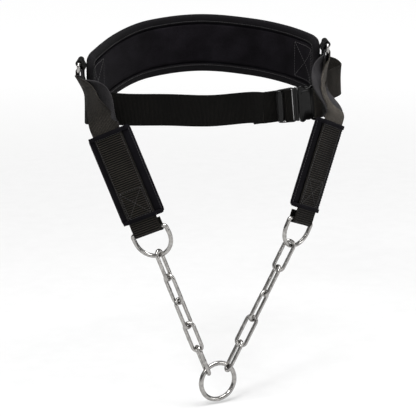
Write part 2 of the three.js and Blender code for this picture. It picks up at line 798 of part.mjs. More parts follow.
const coreDepth = BINDING_THICK + 1.4 * CLEAR;
harness.add(bandSheet(
  'band_core', FOAM, BAND_LENGTH - 2 * coreDepth, BAND_WIDTH / 2 - coreDepth,
  -coreDepth, -coreDepth - BAND_THICK,
));
const liningDepth = coreDepth + BAND_THICK + 1.5 * CLEAR;
harness.add(bandSheet(
  'band_lining', LINING, BAND_LENGTH - 2 * (BINDING_WIDTH + CLEAR), BAND_WIDTH / 2 - BINDING_WIDTH - CLEAR,
  -liningDepth, -liningDepth - LINING_THICK,
));
harness.add(bandBinding());

const weight = centralRing();
['left', 'right'].forEach((key) => {
  const ring = endRing(END_RINGS[key]);
  const frame = sleeveFrame(SLEEVES[key]);
  harness.add(endRingWire(`end_ring_${key}`, ring));
  harness.add(ringTab(`ring_tab_${key}`, ring));
  harness.add(sleeve(`sleeve_${key}`, frame));
  const strap = sideStrap(`side_strap_${key}`, key, ring, frame);
  harness.add(strap.mesh);
  const grip = weight[key];
  const pull = grip.clone().sub(strap.bar).normalize();
  const bow = dRing(`d_ring_${key}`, strap.bar, frame.wide, pull);
  harness.add(bow.mesh);
  chain(key, bow.hook, grip).forEach((mesh) => harness.add(mesh));
});
harness.add(weight.mesh);
harness.add(headStrap());
harness.add(bucklePlate());
harness.add(buckleBody());
harness.add(strapLoop());

export default harness;
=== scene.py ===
# Neck training harness: a padded head band, two weight straps with sleeves, chains and a ring, and a head
# strap that closes with a buckle
import math
from bisect import bisect_right

import bmesh
import bpy
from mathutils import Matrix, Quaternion, Vector, noise
from mathutils.bvhtree import BVHTree
from mathutils.geometry import tessellate_polygon


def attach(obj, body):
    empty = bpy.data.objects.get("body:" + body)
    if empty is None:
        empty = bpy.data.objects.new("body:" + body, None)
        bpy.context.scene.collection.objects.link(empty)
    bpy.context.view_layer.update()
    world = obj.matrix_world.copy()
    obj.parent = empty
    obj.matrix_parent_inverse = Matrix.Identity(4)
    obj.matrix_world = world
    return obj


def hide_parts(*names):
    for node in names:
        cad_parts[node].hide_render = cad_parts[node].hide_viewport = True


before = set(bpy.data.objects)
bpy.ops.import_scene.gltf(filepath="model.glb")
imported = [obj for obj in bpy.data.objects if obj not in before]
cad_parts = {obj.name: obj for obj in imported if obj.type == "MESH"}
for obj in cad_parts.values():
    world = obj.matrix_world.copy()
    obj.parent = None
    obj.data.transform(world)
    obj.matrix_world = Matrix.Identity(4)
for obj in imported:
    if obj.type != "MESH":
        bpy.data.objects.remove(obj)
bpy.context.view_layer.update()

# Camera
# The harness is seen from a little to its left and above, with a long lens, as in the photograph. The camera
# is aimed at the middle of the harness's height.
scene = bpy.context.scene
camera = bpy.data.objects.new("camera", bpy.data.cameras.new("camera"))
scene.collection.objects.link(camera)
camera.location = (-0.5342, -1.8732, 0.2879)
aim = Vector((0.003, 0, -0.162))
camera.rotation_euler = (aim - camera.location).to_track_quat("-Z", "Y").to_euler()
camera.data.lens = 139.8
camera.data.sensor_width = 36
scene.camera = camera

# Studio
# A white sweep lit by soft boxes: one at the upper left, a large one above, and narrow ones near the camera
# and at the right, which draw bright lines along the steel. The room is dark at eye level, so the steel keeps
# dark lines too.
MM = 0.001


def linear(code):
    parts = [int(code[i : i + 2], 16) / 255 for i in (1, 3, 5)]
    return (*[p / 12.92 if p <= 0.04045 else ((p + 0.055) / 1.055) ** 2.4 for p in parts], 1)


def material(name):
    mat = bpy.data.materials.new(name)
    mat.use_nodes = True
    mat.node_tree.nodes.clear()
    return mat


def node(mat, kind, inputs=(), out=0, **settings):
    made = mat.node_tree.nodes.new("ShaderNode" + kind)
    for key, value in settings.items():
        setattr(made, key, value)
    for key, value in dict(inputs).items():
        if isinstance(value, bpy.types.NodeSocket):
            mat.node_tree.links.new(value, made.inputs[key])
        else:
            made.inputs[key].default_value = value
    return made.outputs[out] if made.outputs else made


def ranged(mat, value, given, wanted=(0.0, 1.0), **settings):
    """A value moved from the given range to the wanted one"""
    ends = {1: given[0], 2: given[1], 3: wanted[0], 4: wanted[1]}
    return node(mat, "MapRange", {0: value, **ends}, **settings)


def blend(mat, share, deep, light):
    colors = {6: linear(deep), 7: linear(light)}
    return node(mat, "Mix", {0: share, **colors}, out=2, data_type="RGBA")


def speckle(mat, scale, detail=2.0, rough=0.5):
    """Noise that stays with the object; the scale is in specks a metre"""
    place = node(mat, "TexCoord", out=3)
    return node(mat, "TexNoise", {"Vector": place, "Scale": scale, "Detail": detail, "Roughness": rough})


def surface(mat, inputs):
    node(mat, "OutputMaterial", {"Surface": node(mat, "BsdfPrincipled", inputs)})
    return mat


def piece(name, points, faces, mats, slot, body="harness", replaces=(), uv=None, looks=None):
    """A smooth mesh piece from points in millimetres; uv holds each face corner's place in metres"""
    mesh = bpy.data.meshes.new(name)
    mesh.from_pydata([tuple(p * MM) for p in points], [], faces)
    mesh.polygons.foreach_set("use_smooth", [True] * len(faces))
    for mat in mats:
        mesh.materials.append(mat)
    if uv:
        layer = mesh.uv_layers.new(name="UVMap")
        layer.data.foreach_set("uv", [x * MM for corner in uv for x in corner])
    if looks:
        mesh.polygons.foreach_set("material_index", looks)
    mesh.update()
    obj = bpy.data.objects.new(name, mesh)
    scene.collection.objects.link(obj)
    if body:
        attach(obj, body)
        if replaces:
            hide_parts(*replaces)
    return obj


# Paper lit from behind: it glows more the further it lies from the object, so it stays white to the top of
# the picture and still takes a faint soft shadow under the ring
backdrop = material("white_paper_sweep")
pulp = speckle(backdrop, 40.0)
away = node(backdrop, "VectorMath", {0: node(backdrop, "TexCoord", out=3)}, out=1, operation="LENGTH")
surface(backdrop, {
    "Base Color": blend(backdrop, pulp, "#a6a6a6", "#aeaeae"),
    "Roughness": 0.9,
    "Specular IOR Level": 0.05,
    "Emission Color": linear("#ffffff"),
    "Emission Strength": ranged(backdrop, away, (0.0, 3.2), (0.375, 0.8), interpolation_type="SMOOTHSTEP"),
})
FLOOR_LEVEL, FLOOR_REACH = -386.0, 9000
turns = ((-1, -1), (1, -1), (1, 1), (-1, 1))
corners = [Vector((x * FLOOR_REACH, y * FLOOR_REACH, FLOOR_LEVEL)) for x, y in turns]
floor = piece("floor", corners, [(0, 1, 2, 3)], [backdrop], None, body=None)

world = bpy.data.worlds.new("studio")
scene.world = world
world.use_nodes = True
world.node_tree.nodes.clear()
toward = node(world, "TexCoord", out=0)
height = node(world, "SeparateXYZ", {0: toward}, out=2)
glow = ranged(world, height, (0.05, 0.6), (0.04, 0.5))
light = node(world, "Background", {"Color": linear("#ffffff"), "Strength": glow})
node(world, "OutputWorld", {"Surface": light})


def soft_box(name, place, aim_at, size, watts):
    lamp = bpy.data.lights.new(name, "AREA")
    lamp.shape, lamp.size, lamp.size_y, lamp.energy = "RECTANGLE", size[0], size[1], watts
    obj = bpy.data.objects.new(name, lamp)
    scene.collection.objects.link(obj)
    obj.location = place
    obj.rotation_euler = (Vector(aim_at) - Vector(place)).to_track_quat("-Z", "Y").to_euler()


soft_box("key", (-1.0, -1.1, 1.3), (0, 0, -0.15), (0.5, 0.5), 18)
soft_box("strip", (-0.75, -1.9, 0.75), (0, 0, -0.25), (0.1, 0.9), 3)
soft_box("fill", (1.5, -1.2, 0.4), (0, 0, -0.2), (0.22, 1.2), 8)
soft_box("card", (0.62, -1.45, -0.25), (0.1, -0.05, -0.05), (0.1, 0.6), 0.3)
soft_box("top", (0.1, -0.25, 1.5), (0, 0, -0.2), (1.2, 0.7), 36)
scene.view_settings.view_transform = "Standard"

# Head band
# A strip of 5 mm foam covered in brushed cloth, curved round the back of the head. Its inner face is a softer
# brushed panel, and a folded tape is sewn over the edge all the way round.
HALF_WIDTH, DEPTH = 150, 118
BAND_WIDTH, BAND_THICK, BAND_CORNER = 73, 5, 13
TAPE_WIDTH, TAPE_THICK = 10.5, 1.2
CLEAR = 0.4
UP = Vector((0, 0, 1))


def moved(start, *steps):
    out = start.copy()
    for direction, distance in steps:
        out += direction * distance
    return out


def curve(start, leave, end, reach, s):
    """A point on the smooth curve from start to end; leave and reach are its pulls there"""
    first = start * (2 * s**3 - 3 * s**2 + 1) + leave * (s**3 - 2 * s**2 + s)
    return first + end * (3 * s**2 - 2 * s**3) + reach * (s**3 - s**2)


def rough(x, y, z):
    """Smooth noise between -1 and 1"""
    return noise.noise(Vector((x, y, z)))


class Line:
    """A smooth line through points, measured along its length"""

    def __init__(self, points):
        points = [Vector(p) for p in points]
        row = [points[0] * 2 - points[1], *points, points[-1] * 2 - points[-2]]
        self.spots = []
        for a, b, c, d in zip(row, row[1:], row[2:], row[3:]):
            j, k, m = (b - a).length ** 0.5, (c - b).length ** 0.5, (d - c).length ** 0.5
            leave = ((b - a) / j - (c - a) / (j + k) + (c - b) / k) * k
            reach = ((c - b) / k - (d - b) / (k + m) + (d - c) / m) * k
            self.spots += [curve(b, leave, c, reach, i / 40) for i in range(40)]
        self.spots.append(points[-1])
        self.far = [0.0]
        for a, b in zip(self.spots, self.spots[1:]):
            self.far.append(self.far[-1] + (b - a).length)
        self.length = self.far[-1]

    def at(self, distance):
        distance = min(max(distance, 0.0), self.length - 1e-6)
        i = bisect_right(self.far, distance) - 1
        share = (distance - self.far[i]) / (self.far[i + 1] - self.far[i])
        return self.spots[i].lerp(self.spots[i + 1], share)

    def along(self, distance):
        return (self.at(distance + 0.5) - self.at(distance - 0.5)).normalized()


# The band's line seen from above, as shares of its half width and its depth
BAND_PLAN = [
    (-1.012, -0.17), (-0.988, -0.07), (-0.957, 0.03), (-0.893, 0.16), (-0.755, 0.415), (-0.609, 0.632),
    (-0.477, 0.785), (-0.35, 0.886), (-0.186, 0.957), (0.0, 0.995), (0.17, 0.98), (0.33, 0.91),
    (0.51, 0.769), (0.675, 0.6), (0.82, 0.37), (0.905, 0.165), (0.945, 0.01), (0.937, -0.17),
]
band_line = Line([(x * HALF_WIDTH, y * DEPTH, 0) for x, y in BAND_PLAN])
BAND_LENGTH = band_line.length


def band_point(distance, high, out):
    """A point of the band: how far from its middle, how high from its middle line, how far out of its face"""
    plan = band_line.at(BAND_LENGTH / 2 + distance)
    along = band_line.along(BAND_LENGTH / 2 + distance)
    away = Vector((-along.y, along.x, 0))
    rise = 5 + 23.6 * plan.y / DEPTH + 6.2 * plan.x / HALF_WIDTH
    return moved(plan, (away, out), (UP, rise + high))


def rows_skin(rows, closed=False):
    """Points and faces of a body through rows that all have the same number of corners"""
    count = len(rows[0])
    spans = len(rows) if closed else len(rows) - 1
    faces, spots = [], []
    for i in range(spans):
        for j in range(count):
            a, b = i * count, (i + 1) % len(rows) * count
            k = (j + 1) % count
            faces.append((a + j, a + k, b + k, b + j))
            spots.append(((i, j), (i, j + 1), (i + 1, j + 1), (i + 1, j)))
    if not closed:
        last = (len(rows) - 1) * count
        faces.append(tuple(range(count))[::-1])
        spots.append([(0, j) for j in range(count)][::-1])
        faces.append(tuple(last + j for j in range(count)))
        spots.append([(len(rows) - 1, j) for j in range(count)])
    points = [p for row in rows for p in row]
    volume = 0
    for first, *others in faces:
        for a, b in zip(others, others[1:]):
            volume += points[first].dot(points[a].cross(points[b]))
    if volume < 0:
        faces = [f[::-1] for f in faces]
        spots = [s[::-1] for s in spots]
    return points, faces, spots


def skinned(name, rows, mats, slot, along, around, closed=False, **facts):
    """A piece through rows; along and around are the flat places of its rows and of a row's corners"""
    points, faces, spots = rows_skin(rows, closed)
    uv = [(along[i], around[j]) for corners in spots for i, j in corners]
    return piece(name, points, faces, mats, slot, uv=uv, **facts)


def maths(mat, operation, *values):
    return node(mat, "Math", dict(enumerate(values)), operation=operation)


# Cloth with a short raised nap: fine fibre noise breaks up the tone, slow noise gives worn and shaded patches
def brushed(name, deep, light, grain, sheen):
    mat = material(name)
    fibre, patch = speckle(mat, grain, 5.0, 0.7), speckle(mat, 34.0)
    both = maths(mat, "MULTIPLY", fibre, ranged(mat, patch, (0.3, 0.7), (0.7, 1.25)))
    return surface(mat, {
        "Base Color": blend(mat, ranged(mat, both, (0.36, 0.74)), deep, light),
        "Roughness": 0.95,
        "Specular IOR Level": 0.06,
        "Normal": node(mat, "Bump", {"Height": fibre, "Strength": 0.5, "Distance": 0.5 * MM}),
        "Sheen Weight": sheen,
        "Sheen Roughness": 0.5,
        "Sheen Tint": linear("#b9b6bd"),
    })


# Deep purplish black with a faint bloom where the nap catches the light from the side
lining_cloth = brushed("brushed_polyester_lining", "#060507", "#161418", 1100.0, 0.03)
# The outer cover is the same cloth with less nap
cover_cloth = brushed("brushed_cover_cloth", "#070609", "#121115", 1500.0, 0.03)


def wave(mat, value, pitch):
    return maths(mat, "SINE", maths(mat, "MULTIPLY", value, 2 * math.pi / (pitch * MM)))


def on_cloth(mat):
    """Where a point lies on the flat cloth: along it and across it, in metres"""
    flat = node(mat, "TexCoord", out=2)
    return [node(mat, "SeparateXYZ", {0: flat}, out=way) for way in (0, 1)]


# Binding tape: a fine diagonal rib about 0.9 mm apart, drawn by bump and by a painted highlight on each rib
# top
twill = material("twill_binding_tape")
rib = wave(twill, maths(twill, "ADD", *on_cloth(twill)), 1.3)
lint = speckle(twill, 700.0, 4.0)
# Painted highlight: the rib tops are drawn lighter in the colour
top = maths(twill, "MULTIPLY", ranged(twill, rib, (-1.0, 1.0)), lint)
surface(twill, {
    "Base Color": blend(twill, top, "#050506", "#201e21"),
    "Roughness": 0.8,
    "Specular IOR Level": 0.05,
    "Sheen Weight": 0.015,
    "Normal": node(twill, "Bump", {"Height": rib, "Strength": 0.5, "Distance": 0.25 * MM}),
})

# Bonded polyester thread: smoother and a little brighter than the cloth, so a stitch line catches the light
thread = material("bonded_polyester_thread")
twist = speckle(thread, 1600.0)
surface(thread, {
    "Base Color": blend(thread, twist, "#0b0a0c", "#2c2a2c"),
    "Roughness": 0.45,
    "Normal": node(thread, "Bump", {"Height": twist, "Strength": 0.4, "Distance": 0.2 * MM}),
})

# Along a stitch: share of its length, thickness and height over the cloth, both as shares of the thread
STITCH = ((0.1, 0.35, -0.3), (0.24, 0.9, 0.12), (0.5, 1, 0.3), (0.76, 0.9, 0.12), (0.9, 0.35, -0.3))


def stitches(name, lines, slot, pitch=3.3, size=0.62):
    """Stitches along lines; each line is a list of points with the way out of the cloth there"""
    points, faces = [], []
    for line in lines:
        far = [0.0]
        for (a, _), (b, _) in zip(line, line[1:]):
            far.append(far[-1] + (b - a).length)
        count = max(1, round(far[-1] / pitch))
        step = far[-1] / count

        def spot(distance):
            i = min(max(bisect_right(far, distance) - 1, 0), len(line) - 2)
            share = (distance - far[i]) / max(far[i + 1] - far[i], 1e-6)
            return line[i][0].lerp(line[i + 1][0], share), line[i][1].lerp(line[i + 1][1], share)

        for n in range(count):
            for share, thick, high in STITCH:
                at, out = spot((n + share) * step)
                ahead, _ = spot((n + share) * step + 0.2)
                along = (ahead - at).normalized()
                side = along.cross(out).normalized()
                base = len(points)
                for k in range(6):
                    a = math.pi * k / 3
                    sideways, up = math.cos(a) * size * thick / 2, math.sin(a) * size * thick / 2
                    points.append(moved(at, (side, sideways), (out, up + high * size)))
                if share > STITCH[0][0]:
                    for k in range(6):
                        m = (k + 1) % 6
                        faces.append((base - 6 + k, base - 6 + m, base + m, base + k))
                if share in (STITCH[0][0], STITCH[-1][0]):
                    ring = tuple(base + k for k in range(6))
                    faces.append(ring[::-1] if share == STITCH[0][0] else ring)
    return piece(name, points, faces, [thread], slot)


def band_half(distance, half, length):
    past = abs(distance) - (length / 2 - BAND_CORNER)
    return half - (BAND_CORNER - math.sqrt(max(0.0, BAND_CORNER**2 - past**2)) if past > 0 else 0)


def band_pad(name, length, half, outside, inside, crown_out, crown_in, mat, slot, node_name):
    """A stuffed strip of the band: crowned faces that pull in at a rounded edge"""
    count = round(length / 2.2)
    rows, along = [], []
    middle, thick = (outside + inside) / 2, (outside - inside) / 2
    for i in range(count + 1):
        s = -length / 2 + 0.02 + (length - 0.04) * i / count
        high = max(band_half(s, half, length) + 0.5 * rough(s / 2.4, half, 9), 0.4)
        end = max(0.02, 1 - (abs(s) / (length / 2)) ** 60) ** 0.5
        row = []
        for side in (1, -1):
            for k in range(25):
                t = (-1 + 2 * k / 24) * side
                full = end * max(0.0, 1 - abs(t) ** 14) ** 0.5
                lump = 0.35 * rough(s / 26, t * 1.6, side * 7)
                lump += 0.1 * rough(s / 9, t * 5, side * 3)
                crown = (crown_out if side > 0 else crown_in) * (1 - abs(t) ** 4)
                if abs(t) < 1:
                    row.append(band_point(s, t * high, middle + side * full * (thick + crown + lump)))
        rows.append(row)
        along.append(s)
    corners = len(rows[0])
    around = [half * 4 * k / corners for k in range(corners + 1)]
    obj = skinned(name, rows, [mat], slot, along, around, replaces=[node_name])
    return obj


core_depth = TAPE_THICK + 1.4 * CLEAR
lining_depth = core_depth + BAND_THICK + 1.5 * CLEAR
band_pad(
    "band_foam_and_cover", BAND_LENGTH - 2 * core_depth, BAND_WIDTH / 2 - core_depth,
    -core_depth, -core_depth - BAND_THICK, 0.9, 0.0, cover_cloth, "foam", "band_core",
)
band_pad(
    "band_lining_panel", BAND_LENGTH - 2 * (TAPE_WIDTH + CLEAR), BAND_WIDTH / 2 - TAPE_WIDTH - CLEAR,
    -lining_depth + 0.2, -lining_depth - 0.7, 0.0, 0.9, lining_cloth, "brushed_lining", "band_lining",
)


def band_loop(inset):
    """Places round the band's edge: distance, height, and the way outward in the band's own plane"""
    reach, high = BAND_LENGTH / 2 - inset, BAND_WIDTH / 2 - inset
    loop = []
    for sideways, upward, start in ((1, 1, 90), (1, -1, 0), (-1, -1, -90), (-1, 1, 180)):
        for i in range(13):
            a = math.radians(start - 7.5 * i)
            loop.append((sideways * reach, upward * high, math.cos(a), math.sin(a)))
        if sideways == upward:
            count = round(2 * high / 2.4)
            for i in range(1, count):
                loop.append((sideways * reach, upward * high * (1 - 2 * i / count), sideways, 0))
        else:
            count = round(2 * reach / 2.4)
            for i in range(1, count):
                loop.append((sideways * reach * (1 - 2 * i / count), upward * high, 0, upward))
    return loop


inside = -(BAND_THICK + 2 * (TAPE_THICK + 1.4 * CLEAR))
round_edge = -inside / 2
outer = [(-TAPE_WIDTH, -0.5), (-TAPE_WIDTH + 0.4, -0.1), (-8.4, 0.0), (-6.5, 0.15)]
inner = [(-2.2, -1.3), (-6.5, -1.1), (-TAPE_WIDTH + 0.3, -1.1)]
turn = [
    (-round_edge + math.cos(a) * round_edge, inside / 2 + math.sin(a) * (round_edge + 0.1))
    for a in [math.radians(75 - 15 * i) for i in range(11)]
]
other_face = [[(x, inside - y) for x, y in half[::-1]] for half in (outer, inner)]
profile = [*outer, *turn, *other_face[0], *other_face[1], (-1.2, inside / 2), *inner]
tape_around = [0.0]
for (a, b), (c, d) in zip(profile, [*profile[1:], profile[0]]):
    tape_around.append(tape_around[-1] + math.hypot(c - a, d - b))
rows, along, last = [], [], None
for s, h, cos, sin in band_loop(BAND_CORNER):
    ripple = 0.16 * rough(s / 5, h / 5, 1) + 0.1 * rough(s / 2, h / 2, 5)
    row = []
    for r, out in profile:
        r += BAND_CORNER
        row.append(band_point(s + r * cos, h + r * sin, out + ripple * (1 if out > inside / 2 else -1)))
    along.append(0.0 if last is None else along[-1] + (row[10] - last).length)
    last = row[10]
    rows.append(row)
along.append(along[-1] + (rows[0][10] - last).length)
skinned(
    "band_binding_tape", rows, [twill], "binding_tape", along, tape_around, closed=True,
    replaces=["band_binding"],
)


def band_stitch_line(inset, out, way):
    line = []
    for s, h, cos, sin in [*band_loop(BAND_CORNER), band_loop(BAND_CORNER)[0]]:
        r = BAND_CORNER - inset
        at = band_point(s + r * cos, h + r * sin, out)
        line.append((at, (band_point(s + r * cos, h + r * sin, out + way) - at).normalized()))
    return line


stitches(
    "band_edge_stitches",
    [band_stitch_line(8.6, 0.15, 1), band_stitch_line(8.6, inside - 0.15, -1)],
    "binding_tape",
)


def sewn_box(place, along, high):
    """Lines of a sewn box with a cross: place turns flat coordinates into a point and its way out"""
    (a, b), (c, d) = along, high
    corners = (a, c), (b, c), (b, d), (a, d)
    legs = [*zip(corners, (*corners[1:], corners[0])), corners[::2], corners[1::2]]
    lines = []
    for (x, y), (to_x, to_y) in legs:
        lines.append([place(x + (to_x - x) * i / 24, y + (to_y - y) * i / 24) for i in range(25)])
    return lines


def on_lining(s, h):
    at = band_point(s, h, -lining_depth - 1.55)
    return at, (band_point(s, h, -lining_depth - 3) - at).normalized()


stitches(
    "band_end_stitches",
    sewn_box(on_lining, (BAND_LENGTH / 2 - 52, BAND_LENGTH / 2 - 14), (-21, 21))
    + sewn_box(on_lining, (-BAND_LENGTH / 2 + 14, -BAND_LENGTH / 2 + 52), (-21, 21)),
    "brushed_lining", size=0.8,
)

# Rings at the ends of the band
# Flat rectangular rings of 3.6 mm steel wire, welded shut. A short webbing tab sewn on the band's outer face
# goes over the upper bar of each.
WEB_WIDTH, WEB_THICK = 38, 1.6
END_WIRE, END_LENGTH, END_HALF, END_STANDOFF = 3.6, 48.0, 4.5, 7.3


# Nickel-plated steel: a nearly neutral grey with faint drawing lines, so highlights stretch along the wire
def plated_steel(name, tone, rough):
    mat = material(name)
    drawn = node(mat, "Mapping", {"Vector": node(mat, "TexCoord", out=2), "Scale": (90.0, 2600.0, 1.0)})
    lines = node(mat, "TexNoise", {"Vector": drawn, "Scale": 1.0, "Detail": 3.0})
    mixed = maths(mat, "MULTIPLY", lines, speckle(mat, 260.0, 4.0))
    return surface(mat, {
        "Base Color": blend(mat, ranged(mat, mixed, (0.05, 0.42)), tone, "#bcbab7"),
        "Metallic": 1.0,
        "Roughness": ranged(mat, lines, (0.3, 0.7), (rough, rough + 0.14)),
        "Normal": node(mat, "Bump", {"Height": mixed, "Strength": 0.09, "Distance": 0.2 * MM}),
    })


steel = plated_steel("nickel_plated_drawn_steel", "#72706e", 0.15)


def wire(name, path, normal, thick, replaces, body="harness", sides=24, weld=None):
    """Round wire along a closed flat path; weld is the place of its join, a swollen and rough collar"""
    # The wire is drawn 0.2 mm full, for its plating
    thick += 0.2
    rows, along = [], [0.0]
    for i, at in enumerate(path):
        before, after = path[i - 1], path[(i + 1) % len(path)]
        side = (after - before).normalized().cross(normal).normalized()
        near = 0.0
        if weld is not None:
            near = math.exp(-(((at - weld).length / 1.9) ** 2))
        row = []
        for j in range(sides):
            a = 2 * math.pi * (j + 0.5) / sides
            lump = 0.06 * near + 0.05 * near * rough(at.x * 0.9, j * 0.9, at.z * 0.9)
            r = thick / 2 * (1 + lump)
            row.append(moved(at, (side, math.cos(a) * r), (normal, math.sin(a) * r)))
        rows.append(row)
        along.append(along[-1] + (after - at).length)
    around = [math.pi * thick * j / sides for j in range(sides + 1)]
    return skinned(name, rows, [steel], "steel", along, around, closed=True, replaces=replaces, body=body)


def rounded(corner_path, radius, steps=10):
    """A closed path through flat corners, each rounded by a radius"""
    out = []
    for i, at in enumerate(corner_path):
        before = (corner_path[i - 1] - at).normalized()
        after = (corner_path[(i + 1) % len(corner_path)] - at).normalized()
        half = math.acos(max(-1, min(1, before.dot(after)))) / 2
        centre = at + (before + after).normalized() * radius / math.sin(half)
        start = at + before * radius / math.tan(half) - centre
        end = at + after * radius / math.tan(half) - centre
        angle = start.angle(end)
        for k in range(steps + 1):
            s = k / steps
            way = start * math.sin((1 - s) * angle) + end * math.sin(s * angle)
            out.append(centre + way / math.sin(angle))
    return out


def denser(path, spacing=1.2):
    out = []
    for i, at in enumerate(path):
        after = path[(i + 1) % len(path)]
        count = max(1, round((after - at).length / spacing))
        out += [at.lerp(after, k / count) for k in range(count)]
    return out


def turned(vector, axis, angle):
    return Quaternion(axis, angle) @ vector


def level_ways(distance):
    """The level ways along the band and out of it, at a distance from its middle"""
    step = band_point(distance + 1, 0, 0) - band_point(distance - 1, 0, 0)
    along = Vector((step.x, step.y, 0)).normalized()
    return along, Vector((-along.y, along.x, 0))


def end_ring(side, turn):
    distance = side * (BAND_LENGTH / 2 - 3)
    level_way, away = level_ways(distance)
    centre = moved(band_point(distance, 0, 0), (UP, BAND_WIDTH / 2 - 8), (away, END_STANDOFF))
    swing = math.radians(-side * turn)
    return {
        "centre": centre,
        "wide": turned(level_way * side, UP, swing),
        "away": turned(away, UP, swing),
        "upper": moved(centre, (UP, END_HALF)),
        "lower": moved(centre, (UP, -END_HALF)),
    }


RINGS = {"left": end_ring(-1, 0), "right": end_ring(1, 9)}
for key, ring in RINGS.items():
    corner_path = [
        moved(ring["centre"], (ring["wide"], a * END_LENGTH / 2), (UP, b * END_HALF))
        for a, b in ((1, 1), (1, -1), (-1, -1), (-1, 1))
    ]
    path = denser(rounded(corner_path, END_WIRE * 0.8))
    wire(f"end_ring_wire_{key}", path, ring["away"], END_WIRE, [f"end_ring_{key}"], weld=ring["lower"])


# Polyester webbing: cross ribs, finer at the selvedges, with the lengthwise yarns as a faint second rhythm; a
# warm grey painted highlight on each rib top and black painted shade between the ribs
def ribbed(name, deep, light, pitch, strength, slant=0.0, selvedge=16.6):
    mat = material(name)
    u, v = on_cloth(mat)
    slanted = maths(mat, "MULTIPLY_ADD", v, slant, u)
    shifted = maths(mat, "MULTIPLY_ADD", speckle(mat, 55.0), 0.6 * MM, slanted)
    outer = maths(mat, "GREATER_THAN", maths(mat, "ABSOLUTE", v), selvedge * MM)
    coarse, fine = wave(mat, shifted, pitch), wave(mat, shifted, pitch / 2)
    ribs = node(mat, "Mix", {0: outer, 2: coarse, 3: fine}, out=0, data_type="FLOAT")
    relief = maths(mat, "MULTIPLY_ADD", wave(mat, v, 1.1), 0.22, ribs)
    lint, worn = speckle(mat, 900.0, 4.0, 0.65), speckle(mat, 28.0, 3.0)
    # The rib relief sets the colour too: painted highlight on the rib tops, painted shade in the grooves
    tone = ranged(mat, relief, (-0.2, 1.15))
    tone = maths(mat, "MULTIPLY", tone, ranged(mat, lint, (0.3, 0.7), (0.35, 1.1)))
    tone = maths(mat, "MULTIPLY", tone, ranged(mat, worn, (0.3, 0.7), (0.55, 1.2)))
    return surface(mat, {
        "Base Color": blend(mat, tone, deep, light),
        "Roughness": 0.6,
        "Specular IOR Level": 0.06,
        "Sheen Weight": 0.01,
        "Normal": node(mat, "Bump", {"Height": relief, "Strength": strength, "Distance": 0.5 * MM}),
    })


# Heavy cross rib on the sleeves, with a warm grey-brown painted highlight on the rib tops
sleeve_webbing = ribbed("heavy_ribbed_webbing", "#020202", "#403c36", 2.6, 1.0)
# Plain webbing of the head strap and tabs: a finer and darker rib
webbing_cloth = ribbed("ribbed_polyester_webbing", "#020202", "#1d1b18", 1.6, 0.8)
# The same yarn in a slanting rib where the side straps turn, browner and flatter in the light; that light is
# painted into its colour, which is lighter than the plain webbing's, and the rib tops get the painted
# highlight
slant_rib_cloth = ribbed("slant_ribbed_webbing", "#050505", "#59544e", 2.1, 1.0, slant=1.0)
# The right strap is turned more to the light: the same rib with that light painted in, a much lighter copy
lit_copy_slant_cloth = ribbed("lit_slant_webbing", "#161412", "#8a837a", 2.1, 0.8, slant=1.0)
# The inner ply is napped on this side: dark grey with a fuzzy bloom
napped_cloth = brushed("napped_webbing_face", "#1b1a1b", "#3b3a3b", 1000.0, 0.08)


def run(start, end, steps, pull=1.0):
    """Places on a smooth run; a place is a point, the way along and the way across"""
    (p, d, w), (q, e, x) = start, end
    reach = (q - p).length * pull
    places = []
    for i in range(steps + 1):
        s = i / steps
        at = curve(p, d * reach, q, e * reach, s)
        leave, arrive = (3 * s**2 - 4 * s + 1) * reach, (3 * s**2 - 2 * s) * reach
        along = ((q - p) * (6 * s - 6 * s**2) + d * leave + e * arrive).normalized()
        wide = w.lerp(x, s * s * (3 - 2 * s))
        wide = (wide - along * wide.dot(along)).normalized()
        places.append((at, along, wide))
    return places


def fold(bar, wide, out, over, radius, degrees, steps=22):
    places = []
    for i in range(steps + 1):
        a = math.radians(degrees * i / steps)
        at = moved(bar, (out, math.cos(a) * radius), (over, math.sin(a) * radius))
        places.append((at, over * math.cos(a) - out * math.sin(a), wide))
    return places


def joined(*runs):
    places = []
    for place in [p for r in runs for p in r]:
        if not places or (places[-1][0] - place[0]).length > 0.05:
            places.append(place)
    return places


def filled(places, spacing=1.5):
    """The same places with smooth ones between, so that none are further apart than the spacing"""
    out = [places[0]]
    for a, b in zip(places, places[1:]):
        count = max(1, math.ceil((b[0] - a[0]).length / spacing))
        out += run(a, b, count)[1:]
    return out


def webbing(name, places, replaces, mats=None, look=None, width=WEB_WIDTH, flutter=0.25):
    """Woven webbing with rounded selvedges that are a little thicker than its middle"""
    places = filled(places)
    half, edge = width / 2, WEB_THICK / 2
    across = [-half + 0.5, *[-half + 1.4 + (width - 2.8) * k / 12 for k in range(13)], half - 0.5]
    top = [(x, edge * (1.08 if abs(x) > half - 1.6 else 0.98)) for x in across]
    side = [(half - 0.1, edge * 0.6), (half, 0.0), (half - 0.1, -edge * 0.6)]
    corners = [*top, *side, *[(x, -y) for x, y in top[::-1]], *[(-x, -y) for x, y in side]]
    rows, along = [], []
    for i, (at, ahead, wide) in enumerate(places):
        face = ahead.cross(wide).normalized()
        far = 0.0 if not i else along[-1] + (at - places[i - 1][0]).length
        free = flutter * min(1, i / 12, (len(places) - 1 - i) / 12)
        row = []
        for x, y in corners:
            ripple = free * rough(far / 14, x / 22, len(name))
            fray = 0.12 * rough(far / 1.7, x, 3)
            row.append(moved(at, (wide, x + fray), (face, y + ripple)))
        rows.append(row)
        along.append(far)
    around = [x for x, _ in corners] + [corners[0][0]]
    mats = mats or [webbing_cloth]
    looks = None
    if look:
        looks = [look(far / along[-1]) for far in along[:-1] for _ in corners] + [0, len(mats) - 1]
    return skinned(name, rows, mats, "webbing", along, around, replaces=replaces, looks=looks)


